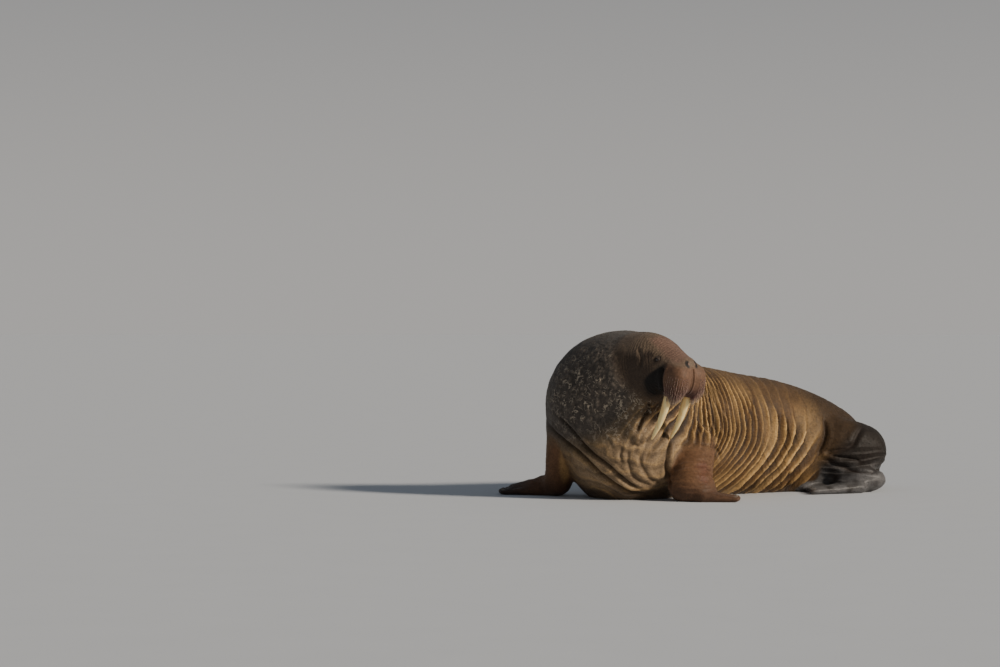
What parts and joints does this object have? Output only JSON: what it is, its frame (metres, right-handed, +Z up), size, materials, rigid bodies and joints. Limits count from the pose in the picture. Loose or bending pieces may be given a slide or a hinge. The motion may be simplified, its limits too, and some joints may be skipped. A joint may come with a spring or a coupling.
{
  "type": "walrus",
  "caption": "Life-size still model of a resting bull walrus, chest raised, head turned back over its left side, with tusks, bristled muzzle, flippers and tail.",
  "frame": {"origin": "on the floor, under the middle of the animal's box in plan", "axes": "+Z up; the hind end lies towards +X; the chest faces -Y and a little -X, and the head is turned to the animal's left, towards +X"},
  "size_m": [2.7299, 2.3151, 1.1138],
  "materials": {
    "body_hide": "thick folded hide with a thin golden brown coat",
    "neck_hide": "dark, rough hide set with pale nodules",
    "head_hide": "close, fine-wrinkled hide",
    "muzzle_hide": "smooth whisker pads with stiff bristles",
    "flipper_hide": "bare wrinkled skin",
    "hind_flipper_hide": "bare grey-brown skin",
    "ivory": "smooth ivory with fine lengthwise cracks",
    "eye": "dark wet gloss"
  },
  "bodies": {
    "root": {"head": "head_hide", "chin": "head_hide", "whisker_pad_left": "muzzle_hide", "whisker_pad_right": "muzzle_hide", "eye_left": "eye", "eye_right": "eye", "tusk_left": "ivory", "tusk_right": "ivory", "neck": "neck_hide", "chest": "body_hide", "torso": "body_hide", "hindquarters": "body_hide", "tail": "flipper_hide", "foreflipper_left": "flipper_hide", "foreflipper_right": "flipper_hide", "hind_flipper_left": "hind_flipper_hide", "hind_flipper_right": "hind_flipper_hide"}
  },
  "joints": []
}
